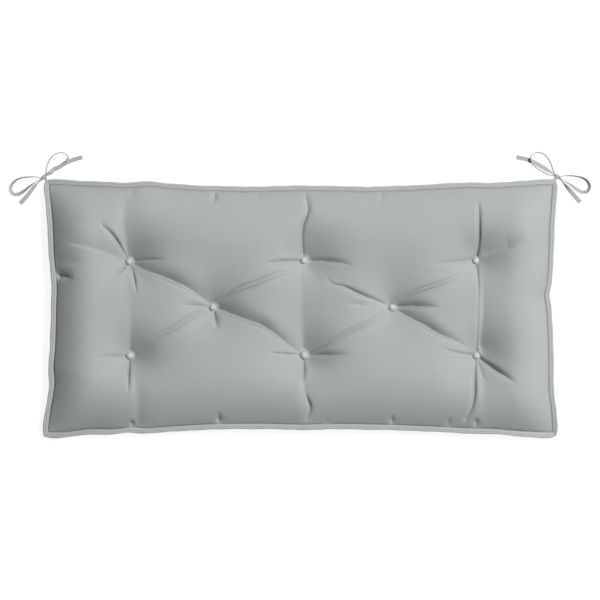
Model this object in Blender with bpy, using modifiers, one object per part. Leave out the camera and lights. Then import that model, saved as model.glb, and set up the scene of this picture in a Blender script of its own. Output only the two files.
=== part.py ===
"""Bench cushion, one metre long, for a garden bench.

A filled pad tufted with eight covered buttons, a sewn welt round its seam, and a tape tied in a bow
at each of its two back corners. It lies on its back: +Z is the sitting face, +X runs along the
length, +Y points to the back edge where the ties are, and z = 0 is the floor under it.
The tables are in millimetres; the meshes are made in metres.
"""
from collections import namedtuple
import math

import bmesh
import bpy
from mathutils import Vector
import numpy as np

MM = 0.001
GAP = 0.3                      # between pieces that touch

# Driving sizes of the cushion, mm
LENGTH = 1000.0                # over the welt, corner to corner
FRONT = -252.3                 # front edge of the front corners
BACK = 251.7                   # back edge of the back corners
SEAM_HEIGHT = 28.0             # seam above the floor at the middle of a side
CORNER_HEIGHT = 10.0           # seam above the floor at a corner
DROP_POWERS = (6, 4)           # how near the corners the seam drops, along x and y
CROWN = 62.0                   # sitting face above the seam before the tufts pull it down
RIM = 3.0                      # height of the seam itself

WELT_WIDTH = 10.0
WELT_FLARE = 3.5               # extra width at the corners
FLARE_LENGTH = 35.0
WELT_THICKNESS = 5.0
FRONT_ROUND = (5.5, 5.5)       # how far the front corners' tips are taken in, along x and y
BACK_ROUND = (8.0, 4.0)        # the same for the back corners, which the ties pull together
ROUND_LENGTH = 9.0

# Distance from the left, right, front and back seams over which the sides round up to the sitting face
SHOULDER = (80.0, 80.0, 108.0, 108.0)
SHOULDER_SHARE = 0.86          # of the crown; the rest rises over the longer SPREAD
SPREAD = 210.0
UNDER_ROLL = 62.0              # the same distance for the underside

# Covered buttons, mm
BUTTON_RADIUS = 6.3
BUTTON_HEIGHT = 5.5
BUTTON_SEAT_RADIUS = 7.4
BUTTON_SEAT_HEIGHT = 28.5
SEAT_BLEND = 4.0
UNDER_TUFT_DEPTH = 6.0
UNDER_TUFT_RADIUS = 30.0
BUTTONS = {
    "back_left": (-329, 90),
    "back_middle": (7, 92),
    "back_right": (338, 92),
    "centre_left": (-168, 2),
    "centre_right": (177, 2),
    "front_left": (-328, -91),
    "front_middle": (7, -90),
    "front_right": (339, -91),
}

# How far the outer edge is drawn in from the straight line between two corners
Station = namedtuple("Station", "along draw_in")
BACK_EDGE = [Station(*row) for row in (
    (-500, 0), (-440, 5), (-392, 7), (-331, 9), (-315, 7), (-254, 11.5), (-192, 15), (-90, 17),
    (8, 15), (90, 16.6), (146, 17), (200, 15.4), (269, 12), (331, 9), (377, 9.6), (430, 6), (500, 0))]
FRONT_EDGE = [Station(*row) for row in (
    (-500, 0), (-469, 2), (-423, 8.6), (-362, 10), (-331, 13.5), (-310, 12), (-254, 15), (-192, 18.6),
    (-54, 20.2), (8, 18.6), (60, 20), (161, 18.6), (269, 14.8), (331, 11.4), (377, 10.4), (430, 5.8),
    (500, 0))]
LEFT_EDGE = [Station(*row) for row in (
    (-252, 0), (-207, 7.8), (-176, 14), (-150, 17), (-120, 15.4), (-84, 18.2), (10, 21), (45, 21.8),
    (110, 16), (162, 13.7), (205, 9.5), (251, 2))]
RIGHT_EDGE = [Station(*row) for row in (
    (-252, 0), (-207, 5), (-176, 9.4), (-99, 11.7), (-37, 13.8), (5, 16.6), (24, 19.6), (45, 16.2),
    (131, 10.6), (178, 8.4), (209, 5.2), (251, 0))]

# A tuft's hollow: its depth, and how far its steep part reaches to each side
Hollow = namedtuple("Hollow", "button depth left right down up")
HOLLOWS = [Hollow(*row) for row in (
    ("back_left", 56, 36, 52, 38, 54),
    ("back_middle", 56, 40, 56, 40, 54),
    ("back_right", 55, 40, 46, 38, 48),
    ("centre_left", 56, 38, 54, 38, 56),
    ("centre_right", 56, 42, 50, 38, 58),
    ("front_left", 56, 36, 54, 38, 48),
    ("front_middle", 56, 40, 50, 40, 54),
    ("front_right", 56, 40, 48, 40, 48))]
STEEP_SHARE = 0.6
STEEP_POWER = 1.5
TAIL_REACH = 2.4               # reach of a hollow's wide shallow part, in reaches of its steep part
TAIL_POWER = 1.25

# A crease runs left to right or downwards. depth: at its start, middle and end. soft: how far the
# fuller cloth on its left slopes down to it. sharp: the same on its right.
Crease = namedtuple("Crease", "path depth soft sharp")
CREASES = [Crease(*row) for row in (
    # between the tufts
    (("back_left", (-300, 74), (-240, 51), (-192, 23), "centre_left"), (15, 21, 6), 13, 8),
    (("centre_left", (-135, -10), (-75, -32), (-25, -68), "front_middle"), (18, 20, 8), 14, 8),
    (("centre_left", (-120, 34), (-45, 64), "back_middle"), (5, 6, 3), 9, 9),
    (("front_left", (-285, -60), (-205, -14), "centre_left"), (5, 6, 3), 9, 9),
    (((52, 60), (85, 41), (145, 15), "centre_right"), (4, 12, 2), 8, 8),
    (("front_middle", (60, -62), (130, -27), "centre_right"), (8, 6, 2), 8, 8),
    (("centre_right", (235, -31), (305, -66), (325, -78)), (12, 19, 3), 11, 8),
    (("centre_right", (262, 45), "back_right"), (4, 6, 1), 10, 10),
    (((4, 70), (2, 0), "front_middle"), (4, 12, 16), 44, 30),
    (((346, 75), (344, 0), (342, -70)), (8, 13, 15), 34, 24),
    (((-328, 80), (-325, 0), "front_left"), (4, 11, 15), 40, 26),
    # from the back edge to the tufts, and from the tufts to the front edge
    (((-336, 215), (-339, 160), "back_left"), (1, 13, 16), 42, 9),
    (((11, 218), (14, 187), (4, 120), "back_middle"), (4, 14, 15), 9, 8),
    (((8, 190), (4, 140), "back_middle"), (1, 11, 12), 46, 10),
    (((342, 198), (344, 130), "back_right"), (4, 15, 15), 8, 8),
    (("front_left", (-329, -125), (-326, -165)), (15, 14, 3), 8, 8),
    (((-320, -110), (-312, -165), (-310, -222)), (4, 6, 4), 26, 9),
    (("front_middle", (6, -120), (13, -170), (13, -212)), (15, 14, 3), 12, 8),
    (("front_right", (334, -130), (328, -190), (318, -212)), (9, 12, 4), 8, 8),
    # short ones that fan out from the tufts
    (((-377, 158), (-358, 139), "back_left"), (5, 15, 15), 8, 8),
    (((-442, 125), (-400, 116), "back_left"), (2, 9, 10), 16, 8),
    (("back_left", (-319, 62), (-312, 20)), (13, 13, 1), 8, 8),
    (("back_left", (-290, 93), (-250, 93)), (13, 12, 0), 8, 8),
    (("centre_left", (-163, -22), (-157, -42)), (12, 10, 0), 8, 8),
    (((-72, 84), (-40, 89), "back_middle"), (1, 10, 11), 8, 8),
    (("back_middle", (45, 90), (98, 83)), (14, 16, 2), 9, 8),
    (("front_middle", (45, -90), (92, -88)), (14, 15, 2), 9, 8),
    (("front_middle", (32, -82), (62, -64)), (12, 12, 3), 8, 8),
    (((-395, -94), (-360, -93), "front_left"), (1, 9, 12), 8, 8),
    (("centre_right", (220, 4), (264, 3)), (15, 17, 2), 9, 8),
    (((250, 83), (290, 87), "back_right"), (1, 9, 10), 9, 8),
    (((360, 106), (400, 121), (434, 139)), (8, 11, 0), 20, 8),
    (("front_right", (360, -107), (410, -141)), (16, 19, 2), 8, 8),
    # puckers at the seam
    (((-470, 62), (-452, 61), (-430, 55)), (10, 12, 0), 9, 8),
    (((-164, 228), (-164, 200)), (7, 6, 0), 8, 8),
    (((-156, -197), (-156, -225)), (0, 7, 7), 8, 8),
    (((-324, -212), (-322, -230)), (0, 7, 8), 8, 8))]
CREASE_POWER = 1.8
CREASE_MIX = 3.0               # how far the deeper of two creases wins where they meet
SHALLOW = 9.0                  # height of the face above the seam below which creases fade
PATH_STEP = 8.0                # between two points of a crease's line

# Mesh fineness
GRID_LONG = 56
GRID_SHORT = 28
EDGE_CROWDING = 0.55           # 0: even rows; towards 1: rows crowd to the edges
FINE_BY_CREASE = (15.0, 5.0)   # mm from a deep crease within which the mesh is halved, and again
DEEP_ENOUGH = 9.0
WIDE_CREASE = 8.0              # a crease with a softer edge needs no finer mesh
FINE_BY_BUTTON = (40.0, 20.0, 11.0)
FLAT_ANGLE = 0.0005            # radians; flat stretches of the underside become few faces

# Tie tapes, mm
TAPE_WIDTH = 8.0
TAPE_THICKNESS = 1.2
LANE = TAPE_THICKNESS + 0.4    # pitch of the tapes side by side in a knot
KNOT_LENGTH = 7.0
KNOT_MOUTH = 4.5               # from the knot's middle to where a tape starts to turn
KNOT_INNER = 2.4               # bends inside the knot that keep a tape straight there
KNOT_START = 0.4               # where a tape begins inside the knot
KNOT_WALL = 1.2
KNOT_LANES = 3
TONGUE_THICKNESS = 2.6
LAID = 0.4                     # under a tape or a knot that lies on the floor
TAPE_LIFT = LAID + KNOT_WALL + GAP
TAPE_STEP = 8.0                # between two points of a tape's swept line
TAPE_TURN = 24.0               # most degrees that a tape rolls between two points

# Routes of the tapes, from the middle of their knot. roll: 0 stands on edge, 90 lies flat with the
# upper edge turned to the right of the way the tape runs.
# lift: from the floor to the tape's lower edge. The row of THROUGH leads through the knot.
Bend = namedtuple("Bend", "x y roll lift")
THROUGH = Bend(0.0, 0.0, 0.0, TAPE_LIFT)
Bow = namedtuple("Bow", "name side axis_angle reach first second")
BOWS = [
    Bow("left", -1, 38.0, 8.0,
        first=[Bend(*row) for row in (
            (-13, 0.0, 0, 0.9), (-27, 0.4, 5, LAID), (-41, -1.0, 10, LAID), (-53, -5.5, 20, LAID),
            (-61, -13, 32, LAID), (-64.5, -23, 40, LAID), (-60, -32, 48, LAID), (-51, -33.5, 55, LAID),
            (-41, -28.5, 55, LAID), (-30, -19.8, 35, LAID), (-18, -11.2, 12, 0.6), THROUGH,
            (7.2, 6.8, -29, 1.9), (12.6, 9.4, -60, 1.0), (19, 14.8, -88, LAID), (28, 19, -90, LAID),
            (41, 27, -90, LAID), (56.5, 33.5, -90, LAID), (74, 38.5, -90, LAID))],
        second=[Bend(*row) for row in (
            (4.5, 12, 0, 0.9), (7, 24, 0, LAID), (11.5, 34, 0, LAID), (20, 43.5, 0, LAID),
            (31.5, 47.3, 0, LAID), (41, 45.5, 0, LAID), (46.5, 39, 10, 1.4), (45.5, 31.5, 50, 2.7),
            (38, 25.2, 88, 2.6), (28, 19, 90, 2.6), (19, 14.8, 88, 2.1), (13.4, 8.4, 60, 3.1),
            (8.3, 5.3, 29, 2.9), THROUGH,
            (-14, -13.6, 10, 0.9), (-22, -22.5, 55, LAID), (-34, -37.5, 80, LAID),
            (-46, -51, 88, LAID))]),
    Bow("right", 1, 150.0, 9.0,
        first=[Bend(*row) for row in (
            (14, 1.0, 0, 0.9), (27, 1.2, -5, LAID), (40, -0.4, -10, LAID), (52, -4, -20, LAID),
            (60, -11, -32, LAID), (63.3, -20, -40, LAID), (59, -29, -48, LAID), (51, -30.5, -55, LAID),
            (40, -25.6, -55, LAID), (29.5, -18.0, -35, LAID), (18, -10.8, -12, 0.6), THROUGH,
            (-13, 9.0, -30, 1.2), (-23, 15.4, -72, LAID), (-35, 22.6, -88, LAID), (-48, 29, -90, LAID),
            (-62, 34, -90, LAID), (-77.5, 37, -90, LAID))],
        second=[Bend(*row) for row in (
            (-7, 11.5, 0, 0.9), (-11, 24, 0, LAID), (-19.5, 38, 0, LAID), (-29, 45, 0, LAID),
            (-39.5, 46.3, 0, LAID), (-47.5, 42, 0, 0.9), (-51, 34.5, 0, 2.1), (-48.5, 26, 0, 2.1),
            (-40.5, 17.4, 0, 0.9), (-29, 10.2, 0, 0.9), (-17, 3.2, 0, 1.2), THROUGH,
            (14, -14.2, -10, 0.9), (22, -23.5, -55, LAID), (33, -36, -80, LAID),
            (45.5, -50, -88, LAID))]),
]

# Colour, roughness, metallic
CLOTH = ("grey_cloth", (0.46, 0.48, 0.475), 0.9, 0.0)
WELT_CLOTH = ("welt_cloth", (0.43, 0.445, 0.44), 0.9, 0.0)
BUTTON_CLOTH = ("button_cloth", (0.50, 0.52, 0.515), 0.85, 0.0)
TAPE_CLOTH = ("tape_cloth", (0.36, 0.375, 0.37), 0.88, 0.0)


def clear_scene():
    for obj in list(bpy.data.objects):
        bpy.data.objects.remove(obj, do_unlink=True)


def make_collection(name):
    collection = bpy.data.collections.new(name)
    bpy.context.scene.collection.children.link(collection)
    return collection


def make_material(name, colour, roughness, metallic):
    material = bpy.data.materials.new(name)
    material.use_nodes = True
    shader = material.node_tree.nodes["Principled BSDF"]
    shader.inputs["Base Color"].default_value = (*colour, 1.0)
    shader.inputs["Roughness"].default_value = roughness
    shader.inputs["Metallic"].default_value = metallic
    return material


def add_object(name, data, collection, material):
    obj = bpy.data.objects.new(name, data)
    collection.objects.link(obj)
    data.materials.append(material)
    return obj


# Plan: where a point of the unit sheet, u and v from -1 to 1, lies in the cushion

def smooth_through(at, value, where):
    """Value at each place of a smooth curve through the points (at, value)."""
    slope = np.gradient(value, at)
    low = np.clip(np.searchsorted(at, where) - 1, 0, len(at) - 2)
    span = at[low + 1] - at[low]
    t = np.clip((where - at[low]) / span, 0.0, 1.0)
    return ((2 * t**3 - 3 * t**2 + 1) * value[low] + (t**3 - 2 * t**2 + t) * span * slope[low]
            + (3 * t**2 - 2 * t**3) * value[low + 1] + (t**3 - t**2) * span * slope[low + 1])


def draw_in(edge, along):
    at = np.array([station.along for station in edge], dtype=float)
    value = np.array([station.draw_in for station in edge], dtype=float)
    return smooth_through(at, value, along)


def fade(distance, length):
    return np.exp(-distance / length)


def plan_point(u, v, inset, flare, rounding):
    """Place in mm, with the outer edge taken in by inset, plus flare and rounding at the corners."""
    half_long = LENGTH / 2
    half_short = (BACK - FRONT) / 2
    from_end = (1.0 - np.abs(u)) * half_long
    from_front = (1.0 + v) * half_short
    from_back = (1.0 - v) * half_short
    along_x = u * half_long
    along_y = FRONT + from_front
    inset_x = inset + flare * (fade(from_front, FLARE_LENGTH) + fade(from_back, FLARE_LENGTH))
    inset_x = inset_x + rounding * (FRONT_ROUND[0] * fade(from_front, ROUND_LENGTH)
                                    + BACK_ROUND[0] * fade(from_back, ROUND_LENGTH))
    inset_y = inset + flare * fade(from_end, FLARE_LENGTH)
    left = -half_long + draw_in(LEFT_EDGE, along_y) + inset_x
    right = half_long - draw_in(RIGHT_EDGE, along_y) - inset_x
    front = (FRONT + draw_in(FRONT_EDGE, along_x) + inset_y
             + rounding * FRONT_ROUND[1] * fade(from_end, ROUND_LENGTH))
    back = (BACK - draw_in(BACK_EDGE, along_x) - inset_y
            - rounding * BACK_ROUND[1] * fade(from_end, ROUND_LENGTH))
    x = left + (right - left) * (u + 1) / 2
    y = front + (back - front) * (v + 1) / 2
    return x, y, (x - left, right - x, y - front, back - y)


def seam_level(u, v):
    """Height of the seam, carried on over the whole sheet."""
    corner = np.abs(u)**DROP_POWERS[0] * np.abs(v)**DROP_POWERS[1]
    return SEAM_HEIGHT - (SEAM_HEIGHT - CORNER_HEIGHT) * corner


def roll(distance, reach):
    """Height of a rounded side, from 0 at the seam to 1 at its reach."""
    return 1.0 - (1.0 - np.clip(distance / reach, 0.0, 1.0))**2


# Sitting face

def crease_path(crease):
    """Closely spaced points of the smooth line through a crease's points."""
    stops = np.array([BUTTONS.get(stop, stop) for stop in crease.path], dtype=float)
    passed = np.concatenate(([0.0], np.cumsum(np.hypot(*np.diff(stops, axis=0).T))))
    where = np.linspace(0.0, passed[-1], max(2, round(passed[-1] / PATH_STEP)) + 1)
    return np.stack([smooth_through(passed, column, where) for column in stops.T], axis=1)


def nearest_on_line(x, y, points):
    """Distance to a line of points, the share of it passed there, and the side: from +1 left of it
    to -1 right of it."""
    distance = np.full_like(x, 1e9)
    share = np.zeros_like(x)
    beside = np.zeros_like(x)
    pieces = len(points) - 1
    for number, (a, b) in enumerate(zip(points, points[1:])):
        run = b - a
        t = np.clip(((x - a[0]) * run[0] + (y - a[1]) * run[1]) / run.dot(run), 0.0, 1.0)
        away_x = x - a[0] - run[0] * t
        away_y = y - a[1] - run[1] * t
        here = np.hypot(away_x, away_y)
        closer = here < distance
        distance = np.where(closer, here, distance)
        share = np.where(closer, (number + t) / pieces, share)
        to_left = (run[0] * away_y - run[1] * away_x) / math.sqrt(run.dot(run))
        beside = np.where(closer, to_left, beside)
    return distance, share, np.clip(beside / (0.5 * distance + 0.5), -1.0, 1.0)


def crease_depth(x, y, crease):
    distance, share, side = nearest_on_line(x, y, crease_path(crease))
    reach = math.sqrt(crease.soft * crease.sharp) * (crease.soft / crease.sharp)**(side / 2)
    depth = np.interp(share, (0.0, 0.5, 1.0), crease.depth)
    return depth * np.exp(-(distance / reach)**CREASE_POWER)


def hollow_share(x, y, hollow):
    """How far down a hollow a place lies, from 1 at its button to 0 far away."""
    from_x = x - BUTTONS[hollow.button][0]
    from_y = y - BUTTONS[hollow.button][1]
    across = from_x / np.where(from_x > 0, hollow.right, hollow.left)
    up = from_y / np.where(from_y > 0, hollow.up, hollow.down)
    reach = np.hypot(across, up)
    steep = STEEP_SHARE * np.exp(-reach**STEEP_POWER)
    tail = (1 - STEEP_SHARE) * np.exp(-(reach / TAIL_REACH)**TAIL_POWER)
    return steep + tail


def sitting_face(u, v, x, y, edges):
    """Height of the sitting face in mm."""
    shoulder = np.ones_like(x)
    spread = np.ones_like(x)
    for distance, reach in zip(edges, SHOULDER):
        shoulder = shoulder * roll(distance, reach)
        spread = spread * roll(distance, SPREAD)
    crown = CROWN * (SHOULDER_SHARE * shoulder + (1 - SHOULDER_SHARE) * spread)
    for hollow in HOLLOWS:
        crown = crown * (1.0 - hollow.depth / CROWN * hollow_share(x, y, hollow))
    creases = sum(crease_depth(x, y, crease)**CREASE_MIX for crease in CREASES)**(1.0 / CREASE_MIX)
    crown = crown - creases * np.clip(crown / SHALLOW, 0.0, 1.0)
    height = seam_level(u, v) + RIM / 2 + crown
    for centre_x, centre_y in BUTTONS.values():
        beyond = (np.hypot(x - centre_x, y - centre_y) - BUTTON_SEAT_RADIUS) / SEAT_BLEND
        mix = np.clip(beyond, 0.0, 1.0)
        mix = mix * mix * (3 - 2 * mix)
        height = BUTTON_SEAT_HEIGHT + (height - BUTTON_SEAT_HEIGHT) * mix
    return height


def underside(u, v, x, y, edges):
    """Height of the face that lies on the floor: 0 except near the seam and under the tufts."""
    flat = 1.0
    for distance in edges:
        flat = flat * roll(distance, UNDER_ROLL)
    height = (seam_level(u, v) - RIM / 2) * (1.0 - flat)
    for centre_x, centre_y in BUTTONS.values():
        share = np.clip(np.hypot(x - centre_x, y - centre_y) / UNDER_TUFT_RADIUS, 0.0, 1.0)
        height = height + UNDER_TUFT_DEPTH * (1.0 - share * share)**2
    return height


# Cushion body

def crowd(value):
    """Moves grid rows towards the edges."""
    return (1 - EDGE_CROWDING) * value + EDGE_CROWDING * math.sin(value * math.pi / 2)


def halve_near(bm, near_enough):
    """Halves the mesh's inner edges whose middle passes the test."""
    border = {vert for edge in bm.edges if edge.is_boundary for vert in edge.verts}
    inner = [edge for edge in bm.edges if not border.intersection(edge.verts)]
    u = np.array([(edge.verts[0].co.x + edge.verts[1].co.x) / 2 for edge in inner])
    v = np.array([(edge.verts[0].co.y + edge.verts[1].co.y) / 2 for edge in inner])
    x, y, edges = plan_point(u, v, WELT_WIDTH + GAP, WELT_FLARE, 0.0)
    chosen = [edge for edge, near in zip(inner, near_enough(x, y)) if near]
    bmesh.ops.subdivide_edges(bm, edges=chosen, cuts=1, use_grid_fill=True)


def near_button(reach):
    def test(x, y):
        near = [np.hypot(x - cx, y - cy) < reach for cx, cy in BUTTONS.values()]
        return np.any(near, axis=0)
    return test


def near_fold(button_reach, crease_reach):
    def test(x, y):
        near = near_button(button_reach)(x, y)
        for crease in CREASES:
            if max(crease.depth) >= DEEP_ENOUGH and crease.sharp <= WIDE_CREASE:
                distance = nearest_on_line(x, y, crease_path(crease))[0]
                near = near | (distance < crease_reach)
        return near
    return test


def unit_sheet(fine_top):
    bm = bmesh.new()
    bmesh.ops.create_grid(bm, x_segments=GRID_LONG, y_segments=GRID_SHORT, size=1.0)
    for vert in bm.verts:
        vert.co.x = crowd(vert.co.x)
        vert.co.y = crowd(vert.co.y)
    if fine_top:
        halve_near(bm, near_fold(FINE_BY_BUTTON[0], FINE_BY_CREASE[0]))
        halve_near(bm, near_fold(FINE_BY_BUTTON[1], FINE_BY_CREASE[1]))
        halve_near(bm, near_button(FINE_BY_BUTTON[2]))
    else:
        halve_near(bm, near_button(UNDER_TUFT_RADIUS))
        halve_near(bm, near_button(UNDER_TUFT_RADIUS))
    return bm


def shape_sheet(bm, face_height):
    u = np.array([vert.co.x for vert in bm.verts])
    v = np.array([vert.co.y for vert in bm.verts])
    x, y, edges = plan_point(u, v, WELT_WIDTH + GAP, WELT_FLARE, 0.0)
    z = face_height(u, v, x, y, edges)
    for vert, px, py, pz in zip(bm.verts, x, y, z):
        vert.co = Vector((px, py, pz)) * MM


def make_cushion(collection, material):
    top = unit_sheet(fine_top=True)
    shape_sheet(top, sitting_face)
    bmesh.ops.triangulate(top, faces=top.faces[:], quad_method="SHORT_EDGE")
    under = unit_sheet(fine_top=False)
    shape_sheet(under, underside)
    bmesh.ops.triangulate(under, faces=under.faces[:], quad_method="SHORT_EDGE")
    bmesh.ops.dissolve_limit(under, angle_limit=FLAT_ANGLE, verts=under.verts[:], edges=under.edges[:])
    bmesh.ops.triangulate(under, faces=under.faces[:])
    bmesh.ops.reverse_faces(under, faces=under.faces[:])

    mesh = bpy.data.meshes.new("cushion")
    under.to_mesh(mesh)
    top.from_mesh(mesh)
    under.free()
    rims = [edge for edge in top.edges if edge.is_boundary]
    bmesh.ops.bridge_loops(top, edges=rims)
    bmesh.ops.triangulate(top, faces=top.faces[:], quad_method="SHORT_EDGE")
    bmesh.ops.recalc_face_normals(top, faces=top.faces[:])
    top.to_mesh(mesh)
    top.free()
    mesh.shade_smooth()
    return add_object("cushion", mesh, collection, material)


# Welt

def rim_stations():
    """The unit sheet's border, once round, anticlockwise from the front left corner."""
    long_steps = [crowd(-1 + 2 * i / GRID_LONG) for i in range(GRID_LONG)]
    short_steps = [crowd(-1 + 2 * i / GRID_SHORT) for i in range(GRID_SHORT)]
    return ([(u, -1.0) for u in long_steps] + [(1.0, v) for v in short_steps]
            + [(-u, 1.0) for u in long_steps] + [(-1.0, -v) for v in short_steps])


# Section of the welt: share of its width from the outer edge, and height from the seam
WeltPoint = namedtuple("WeltPoint", "share height")
WELT_SECTION = [WeltPoint(*row) for row in (
    (1.0, -RIM / 2), (0.72, -WELT_THICKNESS / 2), (0.25, -WELT_THICKNESS / 2), (0.0, -RIM / 3),
    (0.0, RIM / 3), (0.25, WELT_THICKNESS / 2), (0.72, WELT_THICKNESS / 2), (1.0, RIM / 2))]


def make_welt(collection, material):
    border = rim_stations()
    u = np.array([point[0] for point in border])
    v = np.array([point[1] for point in border])
    level = seam_level(u, v)
    bm = bmesh.new()
    rings = []
    for share, height in WELT_SECTION:
        x, y, edges = plan_point(u, v, WELT_WIDTH * share, WELT_FLARE * share, 1.0 - share)
        rings.append([bm.verts.new(Vector((px, py, pz + height)) * MM) for px, py, pz in zip(x, y, level)])
    for ring, following in zip(rings, rings[1:] + rings[:1]):
        corners = zip(ring, ring[1:] + ring[:1], following[1:] + following[:1], following)
        for a, b, c, d in corners:
            bm.faces.new((a, b, c, d))
    bmesh.ops.triangulate(bm, faces=bm.faces[:], quad_method="SHORT_EDGE")
    bmesh.ops.recalc_face_normals(bm, faces=bm.faces[:])
    mesh = bpy.data.meshes.new("welt")
    bm.to_mesh(mesh)
    bm.free()
    mesh.shade_smooth()
    return add_object("welt", mesh, collection, material)


# Buttons

BUTTON_STEPS = 14
ButtonPoint = namedtuple("ButtonPoint", "radius height")
BUTTON_PROFILE = [ButtonPoint(*row) for row in (
    (0.0, 1.0), (0.48, 0.93), (0.82, 0.68), (1.0, 0.3), (0.92, 0.06), (0.7, 0.0), (0.0, 0.0))]


def make_button_mesh():
    mesh = bpy.data.meshes.new("button")
    bm = bmesh.new()
    points = [bm.verts.new((p.radius * BUTTON_RADIUS * MM, 0.0, p.height * BUTTON_HEIGHT * MM))
              for p in BUTTON_PROFILE]
    for a, b in zip(points, points[1:]):
        bm.edges.new((a, b))
    bm.to_mesh(mesh)
    bm.free()
    return mesh


def make_button(name, place, mesh, collection, material):
    button = add_object(name, mesh.copy(), collection, material)
    button.location = Vector((place[0], place[1], BUTTON_SEAT_HEIGHT + GAP)) * MM
    screw = button.modifiers.new("turn", "SCREW")
    screw.steps = BUTTON_STEPS
    screw.render_steps = BUTTON_STEPS
    screw.use_merge_vertices = True
    screw.merge_threshold = 0.00001
    screw.use_smooth_shade = True
    return button


# Ties

def knot_axes(bow):
    """Unit vectors of a bow's knot: along its hole, and across it away from the cushion."""
    angle = math.radians(bow.axis_angle)
    along = Vector((math.cos(angle), math.sin(angle)))
    across = Vector((-along.y, along.x))
    return along, across if across.y > 0 else -across


def knot_place(bow):
    """Middle of a knot, off the tip of the welt's corner."""
    x, y, edges = plan_point(np.array([float(bow.side)]), np.array([1.0]), 0.0, 0.0, 1.0)
    return Vector((x[0], y[0])) + knot_axes(bow)[1] * bow.reach


def in_lane(bow, lane, along_hole):
    along, across = knot_axes(bow)
    place = across * lane * LANE + along * along_hole
    return Bend(place.x, place.y, 0.0, TAPE_LIFT)


def whole_route(bow, bends, loop_heading, through_lane):
    """A tape's bends from inside its knot, round its loop, through the knot and to its free end."""
    out_of_knot = (KNOT_START, KNOT_INNER, KNOT_MOUTH)
    through_knot = (KNOT_MOUTH, KNOT_INNER, -KNOT_INNER, -KNOT_MOUTH)
    route = [in_lane(bow, 1.0, loop_heading * place) for place in out_of_knot]
    for bend in bends:
        if bend == THROUGH:
            route += [in_lane(bow, through_lane, loop_heading * place) for place in through_knot]
        else:
            route.append(bend)
    return route


def tape_centre(bend):
    """Centre height of a tape whose lower edge is lifted as the bend says."""
    half_width = TAPE_WIDTH / 2 * abs(math.cos(math.radians(bend.roll)))
    half_thickness = TAPE_THICKNESS / 2 * abs(math.sin(math.radians(bend.roll)))
    return bend.lift + half_width + half_thickness


def smooth_route(route):
    """Points and rolls read from a smooth curve through the bends."""
    stops = np.array([(bend.x, bend.y, tape_centre(bend), bend.roll) for bend in route])
    chords = np.hypot(np.diff(stops[:, 0]), np.diff(stops[:, 1]))
    turns = np.abs(np.diff(stops[:, 3]))
    passed = np.concatenate(([0.0], np.cumsum(chords)))
    where = []
    for start, chord, turn in zip(passed, chords, turns):
        steps = max(1, round(chord / TAPE_STEP), math.ceil(turn / TAPE_TURN))
        where += [start + chord * number / steps for number in range(steps)]
    where = np.array(where + [passed[-1]])
    return np.stack([smooth_through(passed, column, where) for column in stops.T], axis=1)


def tape_section(collection):
    """Rectangle that the tapes are swept with, hidden from the model."""
    curve = bpy.data.curves.new("tape_section", "CURVE")
    curve.dimensions = "2D"
    spline = curve.splines.new("POLY")
    spline.points.add(3)
    half_t = TAPE_THICKNESS / 2 * MM
    half_w = TAPE_WIDTH / 2 * MM
    for point, (x, y) in zip(spline.points, ((-half_t, -half_w), (-half_t, half_w), (half_t, half_w),
                                             (half_t, -half_w))):
        point.co = (x, y, 0.0, 1.0)
    spline.use_cyclic_u = True
    section = bpy.data.objects.new("tape_section", curve)
    collection.objects.link(section)
    section.hide_render = True
    section.display_type = "WIRE"
    return section


def make_tape(name, bow, route, section, collection, material):
    curve = bpy.data.curves.new(name, "CURVE")
    curve.dimensions = "3D"
    curve.twist_mode = "Z_UP"
    curve.bevel_mode = "OBJECT"
    curve.bevel_object = section
    curve.use_fill_caps = True
    samples = smooth_route(route)
    spline = curve.splines.new("POLY")
    spline.points.add(len(samples) - 1)
    for point, (x, y, z, turn) in zip(spline.points, samples):
        point.co = (x * MM, y * MM, z * MM, 1.0)
        point.tilt = math.radians(turn)
    tape = add_object(name, curve, collection, material)
    tape.location = knot_place(bow).to_3d() * MM
    return tape


def make_knot(bow, collection, material):
    """The tape wound round the knot, with the doubled tape that runs back to the corner seam."""
    hole_half = (KNOT_LANES * TAPE_THICKNESS + (KNOT_LANES - 1) * (LANE - TAPE_THICKNESS)) / 2 + GAP
    outer_half = hole_half + KNOT_WALL
    hole_low = LAID + KNOT_WALL
    hole_high = TAPE_LIFT + TAPE_WIDTH + GAP
    top = hole_high + KNOT_WALL
    reach = bow.reach - GAP
    tongue_low = CORNER_HEIGHT - TONGUE_THICKNESS / 2
    tongue_high = CORNER_HEIGHT + TONGUE_THICKNESS / 2
    cut = 1.0
    outline = [(-outer_half + cut, LAID), (outer_half - cut, LAID), (outer_half, LAID + cut),
               (outer_half, top - cut), (outer_half - cut, top), (-outer_half + cut, top),
               (-outer_half, tongue_high), (-reach, tongue_high), (-reach, tongue_low),
               (-outer_half, tongue_low), (-outer_half, LAID + cut)]
    hole = [(-hole_half, hole_low), (-hole_half, hole_high), (hole_half, hole_high),
            (hole_half, hole_low)]
    curve = bpy.data.curves.new("tie_%s_knot" % bow.name, "CURVE")
    curve.dimensions = "2D"
    curve.fill_mode = "BOTH"
    curve.extrude = KNOT_LENGTH / 2 * MM
    for points in (outline, hole):
        spline = curve.splines.new("POLY")
        spline.points.add(len(points) - 1)
        for point, (x, y) in zip(spline.points, points):
            point.co = (x * MM, y * MM, 0.0, 1.0)
        spline.use_cyclic_u = True
    knot = add_object("tie_%s_knot" % bow.name, curve, collection, material)
    across = knot_axes(bow)[1]
    knot.location = knot_place(bow).to_3d() * MM
    knot.rotation_euler = (math.radians(90), 0.0, math.atan2(across.y, across.x))
    return knot


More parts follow.
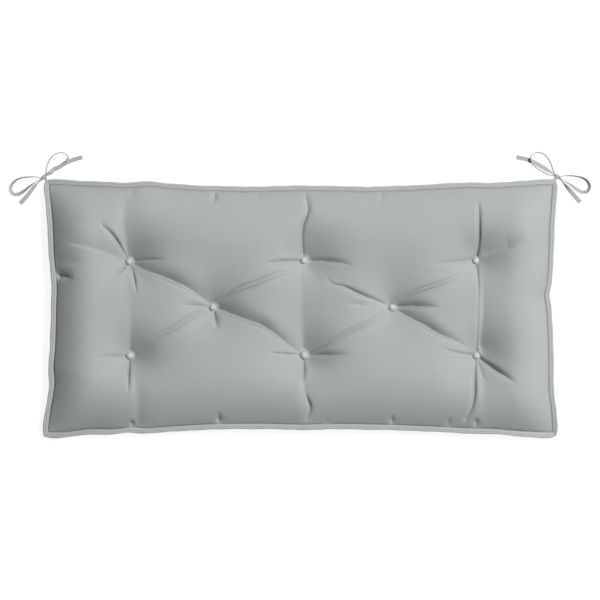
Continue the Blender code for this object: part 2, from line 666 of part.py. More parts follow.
def main():
    clear_scene()
    cushion_set = make_collection("bench_cushion")
    guides = make_collection("guides")
    make_cushion(cushion_set, make_material(*CLOTH))
    make_welt(cushion_set, make_material(*WELT_CLOTH))

    button_mesh = make_button_mesh()
    for name, place in BUTTONS.items():
        make_button("button_" + name, place, button_mesh, cushion_set, make_material(*BUTTON_CLOTH))

    section = tape_section(guides)
    for bow in BOWS:
        first = whole_route(bow, bow.first, -1.0, 0.0)
        second = whole_route(bow, bow.second, 1.0, -1.0)
        make_tape("tie_%s_a" % bow.name, bow, first, section, cushion_set, make_material(*TAPE_CLOTH))
        make_tape("tie_%s_b" % bow.name, bow, second, section, cushion_set, make_material(*TAPE_CLOTH))
        make_knot(bow, cushion_set, make_material(*TAPE_CLOTH))


main()
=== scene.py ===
"""Bench cushion: a grey woven cover, tufted with covered buttons, a sewn welt and two tape bows.

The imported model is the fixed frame. Tables are in millimetres, meshes in metres; +Z is the sitting
face, +Y the back edge with the ties, z = 0 the floor.
"""
from collections import namedtuple
import math

import bpy
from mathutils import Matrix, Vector
import numpy as np

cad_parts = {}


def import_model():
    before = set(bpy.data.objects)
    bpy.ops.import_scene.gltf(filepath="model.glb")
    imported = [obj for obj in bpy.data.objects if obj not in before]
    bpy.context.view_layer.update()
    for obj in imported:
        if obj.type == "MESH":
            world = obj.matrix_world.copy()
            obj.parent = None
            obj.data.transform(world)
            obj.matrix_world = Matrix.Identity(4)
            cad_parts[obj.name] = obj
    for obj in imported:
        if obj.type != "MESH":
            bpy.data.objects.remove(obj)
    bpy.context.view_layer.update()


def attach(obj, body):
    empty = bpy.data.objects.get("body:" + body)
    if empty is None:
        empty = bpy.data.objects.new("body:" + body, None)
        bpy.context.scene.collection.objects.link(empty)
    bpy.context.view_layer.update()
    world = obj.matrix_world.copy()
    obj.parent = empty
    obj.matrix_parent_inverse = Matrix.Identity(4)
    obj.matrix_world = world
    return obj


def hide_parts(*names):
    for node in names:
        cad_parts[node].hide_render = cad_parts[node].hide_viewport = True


MM = 0.001


# Shader maths

class Value:
    """What a shader node's socket gives. Sums and products of values add Math nodes."""

    def __init__(self, tree, socket):
        self.tree = tree
        self.socket = socket

    def math(self, operation, *values):
        inputs = dict(enumerate(values))
        return self.tree.node("ShaderNodeMath", dict(operation=operation), inputs)

    def __add__(self, other):
        return self.math("ADD", self, other)

    def __sub__(self, other):
        return self.math("SUBTRACT", self, other)

    def __mul__(self, other):
        return self.math("MULTIPLY", self, other)

    def __truediv__(self, other):
        return self.math("DIVIDE", self, other)

    def __radd__(self, other):
        return self.math("ADD", other, self)

    def __rsub__(self, other):
        return self.math("SUBTRACT", other, self)

    def __rmul__(self, other):
        return self.math("MULTIPLY", other, self)

    def sine(self):
        return self.math("SINE", self)

    def size(self):
        """The value without its sign."""
        return self.math("ABSOLUTE", self)

    def over(self, level):
        """1 where the value is over the level, else 0."""
        return self.math("GREATER_THAN", self, level)


# Sockets of a Mix node that mixes colours, by number, because its other sockets have the same names
MIX_FACTOR = 0
MIX_FIRST = 6
MIX_SECOND = 7
MIX_RESULT = 2


class Finish:
    """A material's node tree."""

    def __init__(self, name):
        self.material = bpy.data.materials.new(name)
        self.material.use_nodes = True
        self.nodes = self.material.node_tree.nodes
        self.links = self.material.node_tree.links
        self.shader = self.nodes["Principled BSDF"]

    def node(self, kind, settings=None, inputs=None, output=0):
        """Adds a node, sets it up, feeds it, and gives what the named output carries."""
        made = self.nodes.new(kind)
        for name, setting in (settings or {}).items():
            setattr(made, name, setting)
        for key, value in (inputs or {}).items():
            self.feed(made.inputs[key], value)
        return Value(self, made.outputs[output])

    def feed(self, socket, value):
        if isinstance(value, Value):
            self.links.new(value.socket, socket)
        else:
            socket.default_value = value

    def blend(self, factor, first, second):
        """Colour between two colours."""
        inputs = {MIX_FACTOR: factor, MIX_FIRST: (*first, 1.0), MIX_SECOND: (*second, 1.0)}
        return self.node("ShaderNodeMix", dict(data_type="RGBA"), inputs, MIX_RESULT)

    def noise(self, place, scale, detail=2.0, roughness=0.5):
        inputs = {"Vector": place, "Scale": scale, "Detail": detail, "Roughness": roughness}
        return self.node("ShaderNodeTexNoise", None, inputs)

    def stretched(self, place, scale):
        """The same place, with each axis counted in its own scale."""
        return self.node("ShaderNodeVectorMath", dict(operation="MULTIPLY"), {0: place, 1: scale})

    def finish(self, colour, roughness, height, depth):
        """Feeds the shader. height: a bump from 0 to 1 that stands depth metres high."""
        self.feed(self.shader.inputs["Base Color"], colour)
        self.feed(self.shader.inputs["Roughness"], roughness)
        bump = self.node("ShaderNodeBump", None, {"Height": height, "Distance": depth, "Strength": 1.0})
        self.feed(self.shader.inputs["Normal"], bump)
        return self.material


# Cloth: threads of one light and one darker grey, plainly woven, thick and thin

SLUBS_ALONG = 14.0               # thick and thin stretches in a metre of thread
SLUBS_ACROSS = 0.9               # the same across the threads, for each pitch
SLUBS_THROUGH = 60.0
SLUB_TONE = 0.2
CLOUD_SCALE = 9.0                # slow changes of tone over the whole cloth
CLOUD_TONE = 0.3
# Painted shade and light of the weave: the cloth's tone is darker where the threads sink between each
# other and lighter on their crowns, above this share of a thread's height
WEAVE_GAP_PAINTED_SHADE = 0.05
WEAVE_SHADE_LEVEL = 0.6
CLOTH_ROUGHNESS = 0.86
ROUGHNESS_CHANGE = 0.1
SLUB_HEIGHT = 0.6                # of the height of a thread
WEAVE_HEIGHT = 0.16              # of the pitch
SHEEN = 0.02
SHEEN_ROUGHNESS = 0.5
CLOTH_SPECULAR = 0.12


def woven(name, dark, light, pitch, coordinates="Object"):
    """Plainly woven cloth. pitch: metres between two threads."""
    finish = Finish(name)
    place = finish.node("ShaderNodeTexCoord", output=coordinates)
    across = finish.node("ShaderNodeSeparateXYZ", inputs={0: place}, output="X")
    along = finish.node("ShaderNodeSeparateXYZ", inputs={0: place}, output="Y")
    warp = (across * (math.pi / pitch)).sine()
    weft = (along * (math.pi / pitch)).sine()
    over = (warp * weft).over(0.0)
    threads = over * warp.size() + (1.0 - over) * weft.size()

    warp_place = finish.stretched(place, (SLUBS_ACROSS / pitch, SLUBS_ALONG, SLUBS_THROUGH))
    weft_place = finish.stretched(place, (SLUBS_ALONG, SLUBS_ACROSS / pitch, SLUBS_THROUGH))
    warp_slubs = finish.noise(warp_place, 1.0)
    weft_slubs = finish.noise(weft_place, 1.0)
    clouds = finish.noise(place, CLOUD_SCALE, 3.0)
    # tone: random slubs and clouds, plus painted shade between the threads and painted light on their
    # crowns
    tone = (0.5 + (warp_slubs - 0.5) * SLUB_TONE + (weft_slubs - 0.5) * SLUB_TONE
            + (clouds - 0.5) * CLOUD_TONE + (threads - WEAVE_SHADE_LEVEL) * WEAVE_GAP_PAINTED_SHADE)
    colour = finish.blend(tone, dark, light)
    roughness = CLOTH_ROUGHNESS + (weft_slubs - 0.5) * ROUGHNESS_CHANGE
    height = threads + (warp_slubs + weft_slubs) * SLUB_HEIGHT
    finish.shader.inputs["Sheen Weight"].default_value = SHEEN
    finish.shader.inputs["Sheen Roughness"].default_value = SHEEN_ROUGHNESS
    finish.shader.inputs["Specular IOR Level"].default_value = CLOTH_SPECULAR
    return finish.finish(colour, roughness, height, pitch * WEAVE_HEIGHT)


TWIST_SCALE = 900.0
TWIST_HEIGHT = 0.0002
SEWING_ROUGHNESS = 0.7


def sewing_thread(name, dark, light):
    finish = Finish(name)
    place = finish.node("ShaderNodeTexCoord", output="Object")
    twist = finish.noise(place, TWIST_SCALE, 1.0)
    return finish.finish(finish.blend(twist, dark, light), SEWING_ROUGHNESS, twist, TWIST_HEIGHT)


FLOOR_DARK = (0.11, 0.11, 0.11)
FLOOR_LIGHT = (0.13, 0.13, 0.13)
FLOOR_GLOW = 0.90                # a floor that glows shows no shadow and lights the sides but little
FLOOR_GRAIN_SCALE = 6.0
FLOOR_GRAIN_HEIGHT = 0.0001
FLOOR_ROUGHNESS = 0.9
FLOOR_SPECULAR = 0.1


def floor_finish(name):
    finish = Finish(name)
    place = finish.node("ShaderNodeTexCoord", output="Object")
    grain = finish.noise(place, FLOOR_GRAIN_SCALE)
    finish.shader.inputs["Emission Color"].default_value = (1.0, 1.0, 1.0, 1.0)
    finish.shader.inputs["Emission Strength"].default_value = FLOOR_GLOW
    finish.shader.inputs["Specular IOR Level"].default_value = FLOOR_SPECULAR
    colour = finish.blend(grain, FLOOR_DARK, FLOOR_LIGHT)
    return finish.finish(colour, FLOOR_ROUGHNESS, grain, FLOOR_GRAIN_HEIGHT)


# Objects

def only(obj):
    """Selects one object and nothing else."""
    bpy.ops.object.select_all(action="DESELECT")
    obj.select_set(True)
    bpy.context.view_layer.objects.active = obj


def points_of(obj):
    flat = np.empty(len(obj.data.vertices) * 3)
    obj.data.vertices.foreach_get("co", flat)
    return flat.reshape(-1, 3)


def put_points(obj, points):
    obj.data.vertices.foreach_set("co", points.astype(np.float32).ravel())
    obj.data.update()


def dress(obj, material, slot, *replaced):
    """Gives a finished piece its material and its body, and hides the CAD nodes it stands for."""
    obj.data.materials.clear()
    obj.data.materials.append(material)
    obj.data.shade_smooth()
    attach(obj, "root")
    if replaced:
        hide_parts(*replaced)
    return obj


def swept(name, rings, along, across, closed):
    """A mesh through rings of points, numbered ring by ring, with its own map in metres.

    rings: array (ring, point, xyz). along and across: the map's coordinates of the rings and of the
    ring's points; each has one more number than there are rings or points where it comes round.
    """
    ring_count, point_count = rings.shape[:2]
    faces = []
    cells = []
    spans = ring_count if closed else ring_count - 1
    for ring in range(spans):
        beyond = (ring + 1) % ring_count
        for point in range(point_count):
            other = (point + 1) % point_count
            faces.append((ring * point_count + point, ring * point_count + other,
                          beyond * point_count + other, beyond * point_count + point))
            cells.append((along[ring], across[point], along[ring], across[point + 1],
                          along[ring + 1], across[point + 1], along[ring + 1], across[point]))
    flat_map = [number for cell in cells for number in cell]
    if not closed:
        last = (ring_count - 1) * point_count
        faces.append(tuple(range(point_count))[::-1])
        faces.append(tuple(range(last, last + point_count)))
        flat_map += [0.0] * (4 * point_count)
    mesh = bpy.data.meshes.new(name)
    mesh.from_pydata(rings.reshape(-1, 3).tolist(), [], faces)
    mesh.uv_layers.new(name="strip").data.foreach_set("uv", flat_map)
    obj = bpy.data.objects.new(name, mesh)
    bpy.context.scene.collection.objects.link(obj)
    only(obj)
    bpy.ops.object.mode_set(mode="EDIT")
    bpy.ops.mesh.select_all(action="SELECT")
    bpy.ops.mesh.normals_make_consistent(inside=False)
    bpy.ops.object.mode_set(mode="OBJECT")
    return obj


# Camera, lights and floor

VIEW_WIDTH = 1.1538              # metres of the floor that the photo's frame takes in
VIEW_CENTRE = (0.0, 0.0163)
VIEW_LEVEL = 0.03                # height at which the frame is that wide
VIEW_REACH = 50.0
LENS = 150.0
SENSOR = 36.0
KEY_TOWARDS = (0.45, 0.27, 0.85)
KEY_DISTANCE = 9.0
KEY_SIZE = 2.4
KEY_POWER = 1010.0
ROOM_LIGHT = 0.08
FLOOR_SIZE = 14.0

camera_data = bpy.data.cameras.new("camera")
camera_data.lens = LENS
camera_data.sensor_width = SENSOR
camera = bpy.data.objects.new("camera", camera_data)
bpy.context.scene.collection.objects.link(camera)
camera.location = (*VIEW_CENTRE, VIEW_LEVEL + VIEW_WIDTH * LENS / SENSOR)
camera_data.clip_end = VIEW_REACH
bpy.context.scene.camera = camera


def softbox(name, towards, distance, size, power):
    """A square area light that shines at the cushion from the given direction."""
    light_data = bpy.data.lights.new(name, "AREA")
    light_data.shape = "SQUARE"
    light_data.size = size
    light_data.energy = power
    light = bpy.data.objects.new(name, light_data)
    bpy.context.scene.collection.objects.link(light)
    direction = Vector(towards).normalized()
    light.location = direction * distance
    light.rotation_euler = direction.to_track_quat("Z", "Y").to_euler()


softbox("key_light", KEY_TOWARDS, KEY_DISTANCE, KEY_SIZE, KEY_POWER)
world = bpy.data.worlds.new("studio")
world.use_nodes = True
world.node_tree.nodes["Background"].inputs["Color"].default_value = (1.0, 1.0, 1.0, 1.0)
world.node_tree.nodes["Background"].inputs["Strength"].default_value = ROOM_LIGHT
bpy.context.scene.world = world
bpy.context.scene.view_settings.view_transform = "Standard"

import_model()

bpy.ops.object.select_all(action="DESELECT")
bpy.ops.mesh.primitive_plane_add(size=FLOOR_SIZE, location=(0.0, 0.0, 0.0))
floor = bpy.context.object
floor.name = "floor"
floor.data.materials.append(floor_finish("pale_floor"))


# Sizes of the cushion, mm, as in the model

GAP = 0.3
LENGTH = 1000.0
FRONT = -252.3
BACK = 251.7
SEAM_HEIGHT = 28.0
CORNER_HEIGHT = 10.0
DROP_POWERS = (6, 4)
CROWN = 62.0
RIM = 3.0
WELT_WIDTH = 10.0
WELT_FLARE = 3.5
FLARE_LENGTH = 35.0
FRONT_ROUND = (5.5, 5.5)
BACK_ROUND = (8.0, 4.0)
ROUND_LENGTH = 9.0
# Distance from the left, right, front and back seams over which the sides round up to the sitting face
SHOULDER = (80.0, 80.0, 108.0, 108.0)
SHOULDER_SHARE = 0.86            # of the crown; the rest rises over the longer SPREAD
SPREAD = 210.0
UNDER_ROLL = 62.0
BUTTON_RADIUS = 6.3
BUTTON_HEIGHT = 5.5
BUTTON_SEAT_RADIUS = 6.8
BUTTON_SEAT_HEIGHT = 28.5
SEAT_BLEND = 2.6
UNDER_TUFT_DEPTH = 6.0
UNDER_TUFT_RADIUS = 30.0
BUTTONS = {
    "back_left": (-329, 90),
    "back_middle": (7, 92),
    "back_right": (338, 92),
    "centre_left": (-168, 2),
    "centre_right": (177, 2),
    "front_left": (-328, -91),
    "front_middle": (7, -90),
    "front_right": (339, -91),
}

# How far the outer edge is drawn in from the straight line between two corners
Station = namedtuple("Station", "along draw_in")
BACK_EDGE = [Station(*row) for row in (
    (-500, 0), (-440, 5), (-392, 7), (-331, 9), (-315, 7), (-254, 11.5), (-192, 15), (-90, 17),
    (8, 15), (90, 16.6), (146, 17), (200, 15.4), (269, 12), (331, 9), (377, 9.6), (430, 6), (500, 0))]
FRONT_EDGE = [Station(*row) for row in (
    (-500, 0), (-469, 2), (-423, 8.6), (-362, 10), (-331, 13.5), (-310, 12), (-254, 15), (-192, 18.6),
    (-54, 20.2), (8, 18.6), (60, 20), (161, 18.6), (269, 14.8), (331, 11.4), (377, 10.4), (430, 5.8),
    (500, 0))]
LEFT_EDGE = [Station(*row) for row in (
    (-252, 0), (-207, 7.8), (-176, 14), (-150, 17), (-120, 15.4), (-84, 18.2), (10, 21), (45, 21.8),
    (110, 16), (162, 13.7), (205, 9.5), (251, 2))]
RIGHT_EDGE = [Station(*row) for row in (
    (-252, 0), (-207, 5), (-176, 9.4), (-99, 11.7), (-37, 13.8), (5, 16.6), (24, 19.6), (45, 16.2),
    (131, 10.6), (178, 8.4), (209, 5.2), (251, 0))]


def smooth_through(at, value, where):
    """Value at each place of a smooth curve through the points (at, value)."""
    slope = np.gradient(value, at)
    low = np.clip(np.searchsorted(at, where) - 1, 0, len(at) - 2)
    span = at[low + 1] - at[low]
    t = np.clip((where - at[low]) / span, 0.0, 1.0)
    return ((2 * t**3 - 3 * t**2 + 1) * value[low] + (t**3 - 2 * t**2 + t) * span * slope[low]
            + (3 * t**2 - 2 * t**3) * value[low + 1] + (t**3 - t**2) * span * slope[low + 1])


def draw_in(edge, along):
    at = np.array([station.along for station in edge], dtype=float)
    value = np.array([station.draw_in for station in edge], dtype=float)
    return smooth_through(at, value, along)


def fade(distance, length):
    return np.exp(-distance / length)


def plan_point(u, v, inset, flare, rounding):
    """Place in mm of a point of the unit sheet, taken in from the outer edge."""
    half_long = LENGTH / 2
    half_short = (BACK - FRONT) / 2
    from_end = (1.0 - np.abs(u)) * half_long
    from_front = (1.0 + v) * half_short
    from_back = (1.0 - v) * half_short
    along_x = u * half_long
    along_y = FRONT + from_front
    inset_x = inset + flare * (fade(from_front, FLARE_LENGTH) + fade(from_back, FLARE_LENGTH))
    inset_x = inset_x + rounding * (FRONT_ROUND[0] * fade(from_front, ROUND_LENGTH)
                                    + BACK_ROUND[0] * fade(from_back, ROUND_LENGTH))
    inset_y = inset + flare * fade(from_end, FLARE_LENGTH)
    left = -half_long + draw_in(LEFT_EDGE, along_y) + inset_x
    right = half_long - draw_in(RIGHT_EDGE, along_y) - inset_x
    front = (FRONT + draw_in(FRONT_EDGE, along_x) + inset_y
             + rounding * FRONT_ROUND[1] * fade(from_end, ROUND_LENGTH))
    back = (BACK - draw_in(BACK_EDGE, along_x) - inset_y
            - rounding * BACK_ROUND[1] * fade(from_end, ROUND_LENGTH))
    x = left + (right - left) * (u + 1) / 2
    y = front + (back - front) * (v + 1) / 2
    return x, y, (x - left, right - x, y - front, back - y)


def seam_level(u, v):
    corner = np.abs(u)**DROP_POWERS[0] * np.abs(v)**DROP_POWERS[1]
    return SEAM_HEIGHT - (SEAM_HEIGHT - CORNER_HEIGHT) * corner


# Ties: the same routes as the model's, from the middle of each knot

TAPE_WIDTH = 8.0
TAPE_THICKNESS = 1.2
LANE = TAPE_THICKNESS + 0.4
KNOT_LENGTH = 7.0
KNOT_MOUTH = 4.5
KNOT_INNER = 2.4
KNOT_START = 0.4
KNOT_WALL = 1.2
KNOT_LANES = 3
TONGUE_THICKNESS = 2.6
LAID = 0.4
TAPE_LIFT = LAID + KNOT_WALL + GAP
TAPE_STEP = 1.6

# roll: 0 stands on edge, 90 lies flat with the upper edge turned to the right of the way the tape
# runs. lift: from the floor to the tape's lower edge. THROUGH leads through the knot.
Bend = namedtuple("Bend", "x y roll lift")
THROUGH = Bend(0.0, 0.0, 0.0, TAPE_LIFT)
Bow = namedtuple("Bow", "name side axis_angle reach first second")
BOWS = [
    Bow("left", -1, 38.0, 8.0,
        first=[Bend(*row) for row in (
            (-13, 0.0, 0, 0.9), (-27, 0.4, 5, LAID), (-41, -1.0, 10, LAID), (-53, -5.5, 20, LAID),
            (-61, -13, 32, LAID), (-64.5, -23, 40, LAID), (-60, -32, 48, LAID), (-51, -33.5, 55, LAID),
            (-41, -28.5, 55, LAID), (-30, -19.8, 35, LAID), (-18, -11.2, 12, 0.6), THROUGH,
            (7.2, 6.8, -29, 1.9), (12.6, 9.4, -60, 1.0), (19, 14.8, -88, LAID), (28, 19, -90, LAID),
            (41, 27, -90, LAID), (56.5, 33.5, -90, LAID), (74, 38.5, -90, LAID))],
        second=[Bend(*row) for row in (
            (4.5, 12, 0, 0.9), (7, 24, 0, LAID), (11.5, 34, 0, LAID), (20, 43.5, 0, LAID),
            (31.5, 47.3, 0, LAID), (41, 45.5, 0, LAID), (46.5, 39, 10, 1.4), (45.5, 31.5, 50, 2.7),
            (38, 25.2, 88, 2.6), (28, 19, 90, 2.6), (19, 14.8, 88, 2.1), (13.4, 8.4, 60, 3.1),
            (8.3, 5.3, 29, 2.9), THROUGH,
            (-14, -13.6, 10, 0.9), (-22, -22.5, 55, LAID), (-34, -37.5, 80, LAID),
            (-46, -51, 88, LAID))]),
    Bow("right", 1, 150.0, 9.0,
        first=[Bend(*row) for row in (
            (14, 1.0, 0, 0.9), (27, 1.2, -5, LAID), (40, -0.4, -10, LAID), (52, -4, -20, LAID),
            (60, -11, -32, LAID), (63.3, -20, -40, LAID), (59, -29, -48, LAID), (51, -30.5, -55, LAID),
            (40, -25.6, -55, LAID), (29.5, -18.0, -35, LAID), (18, -10.8, -12, 0.6), THROUGH,
            (-13, 9.0, -30, 1.2), (-23, 15.4, -72, LAID), (-35, 22.6, -88, LAID), (-48, 29, -90, LAID),
            (-62, 34, -90, LAID), (-77.5, 37, -90, LAID))],
        second=[Bend(*row) for row in (
            (-7, 11.5, 0, 0.9), (-11, 24, 0, LAID), (-19.5, 38, 0, LAID), (-29, 45, 0, LAID),
            (-39.5, 46.3, 0, LAID), (-47.5, 42, 0, 0.9), (-51, 34.5, 0, 2.1), (-48.5, 26, 0, 2.1),
            (-40.5, 17.4, 0, 0.9), (-29, 10.2, 0, 0.9), (-17, 3.2, 0, 1.2), THROUGH,
            (14, -14.2, -10, 0.9), (22, -23.5, -55, LAID), (33, -36, -80, LAID),
            (45.5, -50, -88, LAID))]),
]


def knot_axes(bow):
    """Unit vectors of a bow's knot: along its hole, and across it away from the cushion."""
    angle = math.radians(bow.axis_angle)
    along = Vector((math.cos(angle), math.sin(angle)))
    across = Vector((-along.y, along.x))
    return along, across if across.y > 0 else -across


def knot_place(bow):
    """Middle of a knot, off the tip of the welt's corner."""
    x, y, edges = plan_point(np.array([float(bow.side)]), np.array([1.0]), 0.0, 0.0, 1.0)
    return Vector((x[0], y[0])) + knot_axes(bow)[1] * bow.reach


def in_lane(bow, lane, along_hole):
    """A bend inside the knot, in one of its side-by-side lanes."""
    along, across = knot_axes(bow)
    place = across * lane * LANE + along * along_hole
    return Bend(place.x, place.y, 0.0, TAPE_LIFT)


def whole_route(bow, bends, loop_heading, through_lane):
    """A tape's bends from inside its knot, round its loop, through the knot and to its free end."""
    out_of_knot = (KNOT_START, KNOT_INNER, KNOT_MOUTH)
    through_knot = (KNOT_MOUTH, KNOT_INNER, -KNOT_INNER, -KNOT_MOUTH)
    route = [in_lane(bow, 1.0, loop_heading * place) for place in out_of_knot]
    for bend in bends:
        if bend == THROUGH:
            route += [in_lane(bow, through_lane, loop_heading * place) for place in through_knot]
        else:
            route.append(bend)
    return route


def tape_centre(bend):
    """Centre height of a tape whose lower edge is lifted as the bend says."""
    half_width = TAPE_WIDTH / 2 * abs(math.cos(math.radians(bend.roll)))
    half_thickness = TAPE_THICKNESS / 2 * abs(math.sin(math.radians(bend.roll)))
    return bend.lift + half_width + half_thickness


def smooth_route(route):
    """Points and rolls, closely spaced, on a smooth curve through the bends."""
    stops = np.array([(bend.x, bend.y, tape_centre(bend), bend.roll) for bend in route])
    chords = np.hypot(np.diff(stops[:, 0]), np.diff(stops[:, 1]))
    passed = np.concatenate(([0.0], np.cumsum(chords)))
    where = np.linspace(0.0, passed[-1], round(passed[-1] / TAPE_STEP) + 1)
    return np.stack([smooth_through(passed, column, where) for column in stops.T], axis=1)


# Section of a tape: share of the half width, share of the half thickness
TAPE_SECTION = np.array([
    (-1.0, 0.0), (-0.97, 0.6), (-0.86, 0.95), (-0.74, 0.8), (-0.4, 0.9), (0.0, 0.95), (0.4, 0.9),
    (0.74, 0.8), (0.86, 0.95), (0.97, 0.6), (1.0, 0.0), (0.97, -0.6), (0.86, -0.95), (0.74, -0.8),
    (0.4, -0.9), (0.0, -0.95), (-0.4, -0.9), (-0.74, -0.8), (-0.86, -0.95), (-0.97, -0.6)])


def tape_rings(samples, place):
    """Rings of points round a tape, and its centre line, in metres."""
    centre = samples[:, :3] + (place.x, place.y, 0.0)
    heading = np.gradient(centre, axis=0)
    heading /= np.linalg.norm(heading, axis=1, keepdims=True)
    up = np.array((0.0, 0.0, 1.0))
    right = np.cross(heading, up)
    right /= np.linalg.norm(right, axis=1, keepdims=True)
    rise = np.cross(right, heading)
    roll = np.radians(samples[:, 3:4])
    wide = rise * np.cos(roll) + right * np.sin(roll)
    thick = np.cross(heading, wide)
    rings = (centre[:, None, :] + wide[:, None, :] * (TAPE_SECTION[:, 0] * TAPE_WIDTH / 2)[None, :, None]
             + thick[:, None, :] * (TAPE_SECTION[:, 1] * TAPE_THICKNESS / 2)[None, :, None])
    return rings * MM, centre * MM


def ring_lengths(points, closed):
    """Distances passed along a line of points, in its own units."""
    loop = np.vstack([points, points[:1]]) if closed else points
    return np.concatenate(([0.0], np.cumsum(np.linalg.norm(np.diff(loop, axis=0), axis=1))))


def make_tape(bow, letter, bends, loop_heading, through_lane, material):
    name = "tie_%s_%s" % (bow.name, letter)
    samples = smooth_route(whole_route(bow, bends, loop_heading, through_lane))
    rings, centre = tape_rings(samples, knot_place(bow))
    along = ring_lengths(centre, False)
    section = TAPE_SECTION * (TAPE_WIDTH / 2 * MM, TAPE_THICKNESS / 2 * MM)
    across = ring_lengths(section, True)
    tape = swept("tape_%s_%s" % (bow.name, letter), rings, along, across, closed=False)
    dress(tape, material, "tape_cloth", name)
    return tape


tape_cloth = woven("tape_cloth", (0.30, 0.315, 0.31), (0.50, 0.52, 0.515), 0.0009, coordinates="UV")
for bow in BOWS:
    make_tape(bow, "a", bow.first, -1.0, 0.0, tape_cloth)
    make_tape(bow, "b", bow.second, 1.0, -1.0, tape_cloth)


# Knots: a tape wound round the bow, and its doubled end sewn into the corner of the seam

WIND_STEPS = 40
WIND_SQUARENESS = 0.45           # 1: the tape is wound round, towards 0: square
WIND_PINCH = (0.10, 0.05)        # how unevenly wide it is, twice and three times in a turn
TONGUE_STEPS = 8
TONGUE_START = 0.4               # how far the doubled tape reaches into the knot's side
TONGUE_SAG = 2.0
TONGUE_NARROW = (0.72, 0.92)     # share of the tape's width at the knot and at the seam


def make_knot(bow, material):
    """The tape wound round the bow, as a ring of sections, with its doubled end."""
    along, across = knot_axes(bow)
    hole_half = (KNOT_LANES * TAPE_THICKNESS + (KNOT_LANES - 1) * (LANE - TAPE_THICKNESS)) / 2 + GAP
    half_wide = hole_half + KNOT_WALL / 2
    low = LAID + KNOT_WALL / 2
    high = TAPE_LIFT + TAPE_WIDTH + GAP + KNOT_WALL / 2
    centre_z = (low + high) / 2
    half_high = (high - low) / 2
    turn = np.linspace(0.0, 2 * math.pi, WIND_STEPS, endpoint=False)
    side = np.sign(np.cos(turn)) * np.abs(np.cos(turn))**WIND_SQUARENESS * half_wide
    level = np.sign(np.sin(turn)) * np.abs(np.sin(turn))**WIND_SQUARENESS * half_high + centre_z
    out_side = np.cos(turn)
    out_level = np.sin(turn)
    section = TAPE_SECTION * (KNOT_LENGTH / 2, KNOT_WALL / 2)
    pinch = 1.0 - WIND_PINCH[0] * np.cos(2 * turn) + WIND_PINCH[1] * np.sin(3 * turn)
    place = knot_place(bow)
    rings = np.empty((WIND_STEPS, len(section), 3))
    for number in range(WIND_STEPS):
        for point, (wide, thick) in enumerate(section):
            sideways = side[number] + out_side[number] * thick
            flat = place + across * sideways + along * (wide * pinch[number])
            rings[number, point] = (flat.x, flat.y, level[number] + out_level[number] * thick)
    line = np.stack([side, level], axis=1) * MM
    knot = swept("knot_%s" % bow.name, rings * MM, ring_lengths(line, True),
                 ring_lengths(section * MM, True), closed=True)
    tongue = make_tongue(bow, half_wide, material)
    only(knot)
    tongue.select_set(True)
    bpy.ops.object.join()
    return dress(knot, material, "tape_cloth", "tie_%s_knot" % bow.name)


def make_tongue(bow, half_wide, material):
    """The doubled tape from the knot back into the corner seam."""
    along, across = knot_axes(bow)
    reach = np.linspace(-half_wide + TONGUE_START, -bow.reach + GAP, TONGUE_STEPS)
    share = np.linspace(0.0, 1.0, TONGUE_STEPS)
    level = CORNER_HEIGHT - TONGUE_SAG * (1 - share)**2
    half = KNOT_LENGTH / 2 * np.interp(share, (0.0, 1.0), TONGUE_NARROW)
    place = knot_place(bow)
    rings = np.empty((TONGUE_STEPS, len(TAPE_SECTION), 3))
    for number in range(TONGUE_STEPS):
        for point, (wide, thick) in enumerate(TAPE_SECTION):
            flat = place + across * reach[number] + along * (wide * half[number])
            rings[number, point] = (flat.x, flat.y, level[number] + thick * TONGUE_THICKNESS / 2)
    section = TAPE_SECTION * (KNOT_LENGTH / 2 * MM, TONGUE_THICKNESS / 2 * MM)
    return swept("tongue_%s" % bow.name, rings * MM, -reach * MM, ring_lengths(section, True),
                 closed=False)


for bow in BOWS:
    make_knot(bow, tape_cloth)


# Sitting face

# A tuft's hollow: its depth, and how far its steep part reaches to each side
Hollow = namedtuple("Hollow", "button depth left right down up")
HOLLOWS = [Hollow(*row) for row in (
    ("back_left", 56, 36, 52, 38, 54),
    ("back_middle", 56, 40, 56, 40, 54),
    ("back_right", 55, 40, 46, 38, 48),
    ("centre_left", 56, 38, 54, 38, 56),
    ("centre_right", 56, 42, 50, 38, 58),
    ("front_left", 56, 36, 54, 38, 48),
    ("front_middle", 56, 40, 50, 40, 54),
    ("front_right", 56, 40, 48, 40, 48))]
STEEP_SHARE = 0.6
STEEP_POWER = 1.5
TAIL_REACH = 2.4                 # reach of a hollow's wide shallow part, in reaches of its steep part
TAIL_POWER = 1.25

